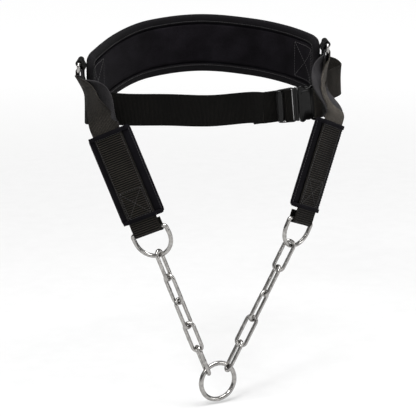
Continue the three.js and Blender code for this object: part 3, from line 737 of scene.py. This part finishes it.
for key, ring in RINGS.items():
    back, down = -ring["away"], -UP
    radius = END_WIRE / 2 + CLEAR + WEB_THICK / 2
    inner = END_STANDOFF - 2 * CLEAR - WEB_THICK / 2
    over = fold(ring["upper"], ring["wide"], back, UP, radius, 265)
    start = moved(ring["upper"], (back, inner), (down, END_HALF * 1.5))
    places = [
        (moved(ring["upper"], (back, inner), (down, 8)), UP, ring["wide"]),
        *run((start, UP, ring["wide"]), over[0], 8),
        *over,
        (moved(over[-1][0], (over[-1][1], WEB_THICK)), over[-1][1], ring["wide"]),
    ]
    webbing(f"ring_tab_webbing_{key}", joined(places), [f"ring_tab_{key}"], width=WEB_WIDTH - 1, flutter=0)

# Sleeves
# A foam pad in the same brushed cloth, 62 mm wide, sewn behind the strap that hangs from each end ring. It
# swells at both margins beside the webbing, which is sewn through it and holds it flat.
SLEEVE_WIDTH, SLEEVE_LENGTH, SLEEVE_THICK = 62, 112, 8


def sleeve_frame(across, drop, turn, tip, lean):
    """Where a sleeve hangs, and how many degrees it is turned out, tipped back and leaned sideways"""
    a, b, c = math.radians(turn), math.radians(tip), math.radians(lean)
    normal = Vector((math.sin(a) * math.cos(b), -math.cos(a) * math.cos(b), math.sin(b)))
    flat_way = UP.cross(normal).normalized()
    steep = flat_way.cross(normal).normalized()
    if steep.z > 0:
        steep = -steep
    if flat_way.x < 0:
        flat_way = -flat_way
    return {
        "normal": normal,
        "down": steep * math.cos(c) + flat_way * math.sin(c),
        "wide": flat_way * math.cos(c) - steep * math.sin(c),
        "centre": Vector((across * 118, -64, -drop * 101)),
    }


SLEEVES = {
    "left": sleeve_frame(-0.975, 1.0, -37.9, -1.4, 23.5),
    "right": sleeve_frame(1.03, 1.01, 32.5, -5.5, -19.6),
}


def sleeve_shape():
    """The pad before it is filled, flat in its own frame: x across, y up, z to the front"""
    count_x, count_y = 30, 54
    rows = []
    for i in range(count_y + 1):
        y = -1 + 2 * i / count_y
        row = []
        for side in (1, -1):
            for k in range(count_x + 1):
                x = (-1 + 2 * k / count_x) * side
                if side < 0 and k in (0, count_x):
                    continue
                past = max(0.0, abs(y) * SLEEVE_LENGTH / 2 - (SLEEVE_LENGTH / 2 - 7))
                narrow = 7 - math.sqrt(max(0.0, 49 - past**2))
                full = max(0.0, 1 - abs(x) ** 10) ** 0.5 * max(0.05, 1 - abs(y) ** 26) ** 0.5
                half_w = SLEEVE_WIDTH / 2 - 0.6 - narrow * 0.35
                deep = side * full * (SLEEVE_THICK / 2 - 1.1)
                row.append(Vector((x * half_w, y * (SLEEVE_LENGTH / 2 - 0.6), deep)))
        rows.append(row)
    return rows


def filled_pad(name, rows):
    """Fills the pad with air as cloth. The part under the webbing is held; the rest may swell a little"""
    points, faces, _ = rows_skin(rows)
    mesh = bpy.data.meshes.new(name + "_cloth")
    mesh.from_pydata([tuple(p * MM * 10) for p in points], [], faces)
    cloth = bpy.data.objects.new(name + "_cloth", mesh)
    scene.collection.objects.link(cloth)
    held = cloth.vertex_groups.new(name="held")
    for i, p in enumerate(points):
        under = abs(p.x) < WEB_WIDTH / 2 + 0.5
        seam = abs(p.z) < 0.6
        held.add([i], 1.0 if under else 0.85 if seam else 0.0, "REPLACE")
    swell = cloth.modifiers.new("fill", "CLOTH")
    swell.settings.use_pressure = True
    swell.settings.uniform_pressure_force = 4.0
    swell.settings.vertex_group_mass = "held"
    swell.settings.effector_weights.gravity = 0.0
    swell.settings.quality = 6
    swell.settings.tension_stiffness = swell.settings.compression_stiffness = 25.0
    for step in range(1, 21):
        scene.frame_set(step)
    shape = cloth.evaluated_get(bpy.context.evaluated_depsgraph_get()).to_mesh()
    for i, p in enumerate(points):
        step = Vector(shape.vertices[i].co) / (MM * 10) - p
        points[i] = p + step * min(1.0, 2.2 / max(step.length, 1e-6))
    scene.frame_set(1)
    bpy.data.objects.remove(cloth)
    return points, faces


pad_points, pad_faces = filled_pad("sleeve", sleeve_shape())
skin_of_pad = BVHTree.FromPolygons(pad_points, pad_faces)


def on_sleeve(frame_of, x, y, z):
    return moved(frame_of["centre"], (frame_of["wide"], x), (frame_of["down"], -y), (frame_of["normal"], z))


for key, hung in SLEEVES.items():
    points = []
    for p in pad_points:
        dent = 0.3 * rough(p.x / 11, p.y / 15, p.z + len(key) * 5) * (abs(p.z) > 1)
        points.append(on_sleeve(hung, p.x, p.y, p.z + math.copysign(dent, p.z)))
    pad = piece(f"sleeve_pad_{key}", points, pad_faces, [cover_cloth], "foam", replaces=[f"sleeve_{key}"])
    smooth = pad.modifiers.new("smooth", "SUBSURF")
    smooth.levels = smooth.render_levels = 1
    half_w, half_l = SLEEVE_WIDTH / 2, SLEEVE_LENGTH / 2
    lines = []
    for x in (half_w - 3.4, 3.4 - half_w):
        line = []
        for y in range(-51, 52, 2):
            skin = skin_of_pad.ray_cast(Vector((x, y, 20)), Vector((0, 0, -1)))[0]
            line.append((on_sleeve(hung, x, y, skin.z), hung["normal"]))
        lines.append(line)
    stitches(f"sleeve_edge_stitches_{key}", lines, "foam")

    # The sleeve is a tube: its hemmed ends pass over the webbing and taper out at its sides
    hem = [(-2.5, 0.0), (-2.5, 0.5), (-2.0, 0.95), (0.0, 1.1)]
    hem += [(2.0, 0.95), (2.5, 0.5), (2.5, 0.0), (0.0, -0.1)]
    hem_reach = SLEEVE_WIDTH / 2 - 3.2
    for name, y in (("top", half_l - 3.0), ("bottom", 3.0 - half_l)):
        rows = []
        for i in range(63):
            x = hem_reach * (i / 31 - 1)
            over = 1 / (1 + math.exp((abs(x) - WEB_WIDTH / 2 - 1.2) / 0.7))
            drop = max(0.0, (abs(x) - hem_reach + 2.2) / 2.4) ** 2
            z = 4.1 + 2.25 * over - 3.6 * drop + 0.25 * rough(x / 5, y, len(key))
            slip = 0.35 * rough(x / 9, y, 2 + len(key))
            narrow, thin = 1 - 0.1 * min(1, drop), 1 - 0.85 * min(1, drop)
            rows.append([on_sleeve(hung, x, y + slip + b * narrow, z + c * thin) for b, c in hem])
        skinned(f"sleeve_hem_{name}_{key}", rows, [cover_cloth], "foam", range(63), range(9))

# Side straps
# One length of webbing each: from the D-ring's fold up the front of the sleeve, over the lower bar of the end
# ring, and back down to the sleeve's top, where both plies are sewn together.
TAB, D_WIRE = 14, 5
STRAP_TURN = {
    "left": ((0.5, 0.2, 0.1, 0.5), (0.54, 0.3, -0.3, 0.5)),
    "right": ((0.45, 0.12, -0.2, 0.4), (0.52, 0.36, -0.42, 0.9)),
}
D_BARS = {}
for key, hung in SLEEVES.items():
    ring = RINGS[key]
    normal, down, wide = hung["normal"], hung["down"], hung["wide"]
    up, behind = -down, -normal
    face = SLEEVE_THICK / 2 + CLEAR + WEB_THICK / 2
    layer = WEB_THICK + CLEAR
    bar_radius = D_WIRE / 2 + CLEAR + WEB_THICK / 2
    low = SLEEVE_LENGTH / 2
    bar = moved(hung["centre"], (down, low + TAB), (normal, face - bar_radius))
    D_BARS[key] = bar
    bottom = (moved(hung["centre"], (down, low), (normal, face)), up, wide)
    top = (moved(hung["centre"], (down, -low), (normal, face)), up, wide)
    ring_wide = ring["wide"] * (1 if ring["wide"].dot(wide) >= 0 else -1)
    radius = END_WIRE / 2 + CLEAR + WEB_THICK / 2
    slope = (ring["lower"] - top[0]).normalized()
    middles = []
    for (way, ahead, out, twist), along in zip(STRAP_TURN[key], (slope, -slope)):
        at = top[0].lerp(ring["lower"], way)
        at = moved(at, (Vector((0, -1, 0)), ahead * WEB_WIDTH), (ring["away"], out * WEB_WIDTH))
        middles.append((at, along, wide.lerp(ring_wide, 1 - twist).normalized()))
    over = fold(ring["lower"], ring_wide, ring["away"], UP, radius, 180)
    straight = END_WIRE * 2.1
    outer_start, inner_start = [(moved(at, (UP, -straight)), way, x) for at, way, x in (over[0], over[-1])]
    together = SLEEVE_LENGTH * 0.06
    outer_end = (moved(top[0], (up, together)), up, wide)
    inner_end = (moved(outer_end[0], (normal, -layer)), down, wide)
    first_part = joined(
        [(moved(bar, (behind, bar_radius), (up, TAB - 3)), down, wide)],
        fold(bar, wide, behind, down, bar_radius, 180),
        run(bottom, top, 40),
        run(outer_end, middles[0], 24, 0.9),
        run(middles[0], outer_start, 24, 0.9),
    )
    second_part = joined(
        over,
        run(inner_start, middles[1], 24, 0.9),
        run(middles[1], inner_end, 24, 0.9),
        [(moved(inner_end[0], (down, together - CLEAR - 1)), down, wide)],
    )

    def length_of(places):
        return sum((b[0] - a[0]).length for a, b in zip(places, places[1:]))

    share = length_of(first_part) / (length_of(first_part) + length_of(second_part))
    flat_share = (SLEEVE_LENGTH + 2 * TAB + 4) / (length_of(first_part) + length_of(second_part))
    webbing(
        f"side_strap_webbing_{key}", joined(first_part, second_part), [f"side_strap_{key}"],
        # The right strap's turned part takes the copy with painted light
        mats=[sleeve_webbing, slant_rib_cloth if key == "left" else lit_copy_slant_cloth, napped_cloth],
        look=lambda s, share=share, low=flat_share: 2 if s > share + 0.02 else 1 if s > low else 0,
    )

    def on_strap(x, y, hung=hung, face=face):
        return on_sleeve(hung, x, y, face + WEB_THICK / 2), hung["normal"]

    def strap_line(x, hung=hung, face=face):
        return [(on_sleeve(hung, x, y, face + WEB_THICK / 2), hung["normal"]) for y in range(-52, 53, 2)]

    box = sewn_box(on_strap, (-15, 15), (-50, -18))
    tack = [on_strap(x, 50) for x in range(-16, 17, 2)]
    lines = [strap_line(-17.2), strap_line(17.2), *box, tack]
    stitches(f"side_strap_stitches_{key}", lines, "webbing", size=0.75)

# D-rings, chains and central ring
# Welded steel: a 5 mm D-ring in each strap's fold, five 4 mm welded links a side, and a 40 mm ring of 5.5 mm
# wire that carries the weight.
D_INSIDE, D_TALL = 41.5, 28
LINK_WIRE, LINK_INSIDE, PLAY = 4, 8.4, 1.15
# The links are drawn a little fuller than their wire, as worn plated chain looks
LINK_FULL = 0.3
RING_INSIDE, RING_WIRE = 40, 5.5
ring_turn = math.radians(12)
ring_normal = Vector((math.sin(ring_turn), -math.cos(ring_turn), 0))
ring_centre = Vector((-9, -85, -358))
ring_level = UP.cross(ring_normal).normalized()
ring_radius = (RING_INSIDE + RING_WIRE) / 2


def on_ring(a):
    return moved(ring_centre, (UP, math.cos(a) * ring_radius), (ring_level, math.sin(a) * ring_radius))


path = [on_ring(2 * math.pi * i / 140) for i in range(140)]
weld = moved(ring_centre, (ring_level, -ring_radius))
wire("central_ring_wire", path, ring_normal, RING_WIRE, ["central_ring"], body="ring", sides=32, weld=weld)

LINK_ROLLS = {"left": [-65, 35, -50, 16, -112], "right": [10, 72, -48, 18, 74]}
for key, hung in SLEEVES.items():
    bar, wide = D_BARS[key], hung["wide"]
    grip = on_ring(math.radians(-42 if key == "left" else 42))
    pull = (grip - bar).normalized()
    away = (pull - wide * pull.dot(wide)).normalized()
    normal = wide.cross(away).normalized()
    half = (D_INSIDE + D_WIRE) / 2
    sides = D_TALL + D_WIRE - half
    bend = D_WIRE * 0.6
    corner = [math.radians(15 * i) for i in range(7)]
    bow = [math.radians(4.5 * i) for i in range(41)]
    flat_path = [(half - bend + math.cos(t) * bend, bend - math.sin(t) * bend) for t in corner[::-1]]
    flat_path += [(math.cos(t) * half, sides + math.sin(t) * half) for t in bow]
    flat_path += [(-half + bend - math.cos(t) * bend, bend - math.sin(t) * bend) for t in corner]
    path = denser([moved(bar, (wide, x), (away, y)) for x, y in flat_path])
    wire(f"d_ring_wire_{key}", path, normal, D_WIRE, [f"d_ring_{key}"], weld=moved(bar, (wide, 14)))
    reach = (pull - normal * pull.dot(normal)).normalized()
    hook = moved(bar, (away, sides), (reach, half))
    along = (grip - hook).normalized()
    loss = LINK_WIRE + PLAY
    ends = (D_WIRE + LINK_WIRE) / 2 + (RING_WIRE + LINK_WIRE) / 2 + 2 * PLAY
    links = len(LINK_ROLLS[key])
    length = ((grip - hook).length + ends + loss * (links - 1)) / links
    view_way = Vector((math.sin(math.radians(-16)), -math.cos(math.radians(-16)), 0))
    flat_way = (view_way - along * view_way.dot(along)).normalized()
    start = moved(hook, (along, -(D_WIRE + LINK_WIRE) / 2 - PLAY))
    for i, roll in enumerate(LINK_ROLLS[key]):
        low_end = moved(start, (along, i * (length - loss)))
        high_end = moved(low_end, (along, length))
        turn_way = turned(flat_way, along, math.radians(roll))
        across = along.cross(turn_way).normalized()
        radius = (LINK_INSIDE + LINK_WIRE - LINK_FULL) / 2
        path = []
        for end, way in ((high_end, 1), (low_end, -1)):
            for t in [math.pi * k / 18 for k in range(19)]:
                lengthwise, sideways = way * (math.sin(t) - 1) * radius, way * math.cos(t) * radius
                path.append(moved(end, (along, lengthwise), (across, sideways)))
        weld = moved(low_end, (along, length * 0.5), (across, radius))
        name = f"{key}_{i + 1}"
        wire(
            f"chain_link_{name}", denser(path, 1.0), turn_way, LINK_WIRE + LINK_FULL, [f"chain_{name}"],
            sides=20, weld=weld,
        )

# Head strap
# Webbing from the left end of the band across the front, threaded through the ladder part of the buckle so
# that its length can be set; a short loop of the same webbing holds the buckle's body to the right end.
STRAP_AHEAD, STRAP_DROP = 46, 29
BUCKLE_HEIGHT, BUCKLE_BODY, BUCKLE_PLATE, BUCKLE_THICK, PLATE_THICK, SLOT = 45, 25, 27, 10, 4, 4
buckle_along = Vector((1, -0.03, 0.09)).normalized()
buckle_up = (UP - buckle_along * UP.dot(buckle_along)).normalized()
buckle_out = buckle_along.cross(buckle_up).normalized()
buckle_centre = Vector((103, -STRAP_AHEAD, -STRAP_DROP))
# Shares of the band's half width, of how far ahead of the ears the strap runs, and of how far it hangs
STRAP_LEFT = [
    (0.3, 0.98, 1.06), (-0.05, 0.97, 1.12), (-0.4, 0.96, 1.0), (-0.72, 0.94, 0.92), (-0.84, 0.88, 0.86),
    (-0.92, 0.785, 0.8), (-0.977, 0.67, 0.78), (-1.009, 0.55, 0.88), (-1.021, 0.43, 0.92),
]
STRAP_RIGHT = [
    (0.94, 0.87, 0.83), (0.962, 0.68, 0.78), (0.966, 0.48, 0.74), (0.975, 0.26, 0.66),
    (1.02, 0.0, 0.6), (1.12, -0.18, 0.5), (1.21, -0.42, 0.38), (1.185, -0.82, 0.2),
]
first_slot, second_slot, end_slot = -BUCKLE_PLATE * 0.62, -BUCKLE_PLATE * 0.3, BUCKLE_BODY * 0.78


def on_buckle(along, up, out):
    return moved(buckle_centre, (buckle_along, along), (buckle_up, up), (buckle_out, out))


def corner_curve(start, corner, end, s):
    return start.lerp(corner, s).lerp(corner.lerp(end, s), s)


def threaded(path, radius):
    """Places along a path on the buckle that turns with a small radius at each corner"""
    spots = []
    for i, corner in enumerate(path):
        at = Vector(corner)
        if i in (0, len(path) - 1):
            spots.append(at)
            continue
        start = at + (Vector(path[i - 1]) - at).normalized() * radius
        end = at + (Vector(path[i + 1]) - at).normalized() * radius
        spots += [corner_curve(start, at, end, k / 8) for k in range(9)]
    places = []
    for i, spot in enumerate(spots):
        step = (spots[min(i + 1, len(spots) - 1)] - spots[max(i - 1, 0)]).normalized()
        places.append((on_buckle(spot.x, 0, spot.y), buckle_along * step.x + buckle_out * step.y, buckle_up))
    return places


def sewn_down(side, start, end, high):
    spots = []
    for share in (0, 0.25, 0.5, 0.75, 1):
        distance = side * (start + (end - start) * share)
        _, away = level_ways(distance)
        spots.append(moved(band_point(distance, 0, 0), (away, 3 * CLEAR + WEB_THICK / 2), (UP, high)))
    return spots


def places_through(spots, spacing, start_wide):
    line = Line(spots)
    count = round(line.length / spacing)
    places = []
    for i in range(count + 1):
        along = line.along(line.length * i / count)
        wide = (UP - along * UP.dot(along)).normalized()
        wide = wide.lerp(start_wide, max(0.0, 1 - i * spacing / 18)).normalized()
        places.append((line.at(line.length * i / count), along, wide))
    return places


def strap_spots(rows):
    return [Vector((a * HALF_WIDTH, -b * STRAP_AHEAD, -c * STRAP_DROP)) for a, b, c in rows]


strap_depth = PLATE_THICK / 2 + CLEAR + WEB_THICK / 2
tail_depth = strap_depth + WEB_THICK + 2 * CLEAR
plate_path = [
    (-BUCKLE_PLATE - WEB_WIDTH * 0.75, -tail_depth), (second_slot, -tail_depth), (second_slot, strap_depth),
    (first_slot, strap_depth), (first_slot, -strap_depth), (-BUCKLE_PLATE - WEB_WIDTH * 0.4, -strap_depth),
]
start = threaded(plate_path, WEB_THICK * 1.15)
rest = [start[-1][0], *strap_spots(STRAP_LEFT), *sewn_down(-1, BAND_LENGTH * 0.475, BAND_LENGTH * 0.38, -21)]
webbing("head_strap_webbing", joined(start, places_through(rest, 2.5, buckle_up)), ["head_strap"])

loop_depth = BUCKLE_THICK / 2 + CLEAR + WEB_THICK / 2
body_path = [
    (BUCKLE_BODY + 7, WEB_THICK / 2 + CLEAR), (BUCKLE_BODY + 2.4, loop_depth), (end_slot, loop_depth),
    (end_slot, -loop_depth), (BUCKLE_BODY + 2.4, -loop_depth), (BUCKLE_BODY + 7, -WEB_THICK / 2 - CLEAR),
]
start = threaded(body_path, WEB_THICK * 0.9)
rest = [start[-1][0], *strap_spots(STRAP_RIGHT), *sewn_down(1, BAND_LENGTH * 0.33, BAND_LENGTH * 0.26, -11)]
places = joined(start, places_through(rest, 2.5, buckle_up))
webbing("strap_loop_webbing", places, ["strap_loop"], mats=[slant_rib_cloth])

# Buckle
# A side-release buckle moulded in acetal: the ladder plate with two slots, and the body with its two release
# prongs at the top and bottom edge. Both have small edge radii.

# Black with a soft gloss from the polished mould, which shows as narrow lines of light along the edges
acetal = material("moulded_acetal")
flow, scuff = speckle(acetal, 120.0, 3.0), speckle(acetal, 1400.0, 3.0)
surface(acetal, {
    "Base Color": blend(acetal, scuff, "#060606", "#0f0f0f"),
    "Roughness": ranged(acetal, flow, (0.3, 0.7), (0.2, 0.27)),
    "Specular IOR Level": 0.2,
    "Normal": node(acetal, "Bump", {"Height": scuff, "Strength": 0.12, "Distance": 0.2 * MM}),
})


def grown(outline, by):
    """An outline moved outward by a distance, or inward by a negative one"""
    spots = [Vector(p) for p in outline]
    turn = 1 if sum(p.cross(q) for p, q in zip(spots, spots[1:] + spots[:1])) > 0 else -1
    out = []
    for i, at in enumerate(spots):
        before, after = (at - spots[i - 1]).normalized(), (spots[(i + 1) % len(spots)] - at).normalized()
        way = (before + after).normalized()
        normal = Vector((way.y, -way.x)) * turn
        out.append(at + normal * (by / max(0.6, way.dot(after))))
    return out


def moulded(name, parts, nodes):
    """Flat outlines with windows, each with a depth range and a rounded edge, as one piece on the buckle"""
    points, faces = [], []
    for outlines, low, high, edge in parts:
        turns = [math.radians(a) for a in (0, 22.5, 45, 67.5, 90)]
        levels = [(edge * (1 - math.sin(a)), high - edge * (1 - math.cos(a))) for a in turns]
        levels += [(inward, low + high - z) for inward, z in levels[::-1]]
        rims = []
        for n, outline in enumerate(outlines):
            starts = []
            for inward, z in levels:
                starts.append(len(points))
                points += [on_buckle(p.x, p.y, z) for p in grown(outline, inward if n else -inward)]
            count = len(outline)
            for a, b in zip(starts, starts[1:]):
                faces += [(a + k, a + (k + 1) % count, b + (k + 1) % count, b + k) for k in range(count)]
            rims.append((starts[0], starts[-1], grown(outline, edge if n else -edge)))
        flat = [[Vector((p.x, p.y, 0)) for p in rim] for _, _, rim in rims]
        for side in (0, 1):
            numbers = [rim[side] + k for rim in rims for k in range(len(rim[2]))]
            faces += [tuple(numbers[k] for k in face) for face in tessellate_polygon(flat)]
    obj = piece(name, points, faces, [acetal], "buckle_plastic", replaces=nodes)
    tidy = bmesh.new()
    tidy.from_mesh(obj.data)
    bmesh.ops.recalc_face_normals(tidy, faces=tidy.faces)
    tidy.to_mesh(obj.data)
    tidy.free()
    obj.modifiers.new("normals", "WEIGHTED_NORMAL").weight = 90
    return obj


def window(middle, wide, high, corner=0.9):
    """A slot with round corners"""
    out = []
    reach, rise = wide / 2 - corner, high / 2 - corner
    for a, b, start in ((1, 1, 90), (1, -1, 0), (-1, -1, -90), (-1, 1, 180)):
        for i in range(5):
            t = math.radians(start - 22.5 * i)
            out.append((middle + a * reach + math.cos(t) * corner, b * rise + math.sin(t) * corner))
    return out


def softened(outline, share=0.28):
    """Each corner of an outline cut to a short curve"""
    out = []
    for i, at in enumerate(outline):
        at = Vector(at)
        before, after = Vector(outline[i - 1]), Vector(outline[(i + 1) % len(outline)])
        start, end = at.lerp(before, share), at.lerp(after, share)
        out += [tuple(corner_curve(start, at, end, s)) for s in (0, 0.33, 0.67, 1)]
    return out


def mirrored(edge):
    """A softened outline from one edge and the same edge mirrored"""
    return softened([*edge, *[(x, -y) for x, y in edge[::-1]]])


high = BUCKLE_HEIGHT / 2
trim = BUCKLE_HEIGHT * 0.05
plate = mirrored([
    (-BUCKLE_PLATE, -high + trim * 2), (-BUCKLE_PLATE + trim, -high + trim), (-CLEAR, -high + trim * 0.4),
])
slots = [window(first_slot, SLOT, WEB_WIDTH + 1.6), window(second_slot, SLOT, WEB_WIDTH + 0.8)]
rail = mirrored([(-3.6, -high + 2), (-CLEAR, -high + 2)])
bar_face = mirrored([(-BUCKLE_PLATE + 0.8, 3.4 - high), (-19.6, 3 - high)])
parts = [([plate, *slots], -2, 2, 0.6), ([rail], -3.2, 3.2, 0.9), ([bar_face], -1.9, 3.3, 1.2)]
moulded("buckle_ladder_plate", parts, ["buckle_plate"])

# The body's upper edge as shares of its length and half height, waisted where the prongs are pressed
BODY_EDGE = [
    (0, 0.94), (0.16, 1), (0.26, 0.94), (0.36, 0.84), (0.52, 0.84), (0.62, 0.94), (0.72, 0.98), (0.94, 0.98),
    (1, 0.9),
]
upper = [(a * BUCKLE_BODY, b * high) for a, b in BODY_EDGE]
outline = mirrored(upper)
crown = mirrored([(2.4, -16), (13.5, -16), (15.5, -13)])
ridges = [mirrored([(x, -17.5), (x + 1.3, -17.5)]) for x in (16.9, 23.2)]
prong = [(7.6, 17.6), (14.6, 17.6), (13.6, 20.6), (8.6, 20.6)]
prongs = [softened(prong), softened([(x, -y) for x, y in prong[::-1]])]
parts = [([outline, window(end_slot, SLOT, WEB_WIDTH + 1.6)], -5, 5, 1.2), ([crown], -5.5, 5.5, 1.1)]
parts += [([ridge], -5.4, 5.4, 0.5) for ridge in ridges]
parts += [([prong], -3.4, 3.4, 0.8) for prong in prongs]
moulded("buckle_body_shell", parts, ["buckle_body"])
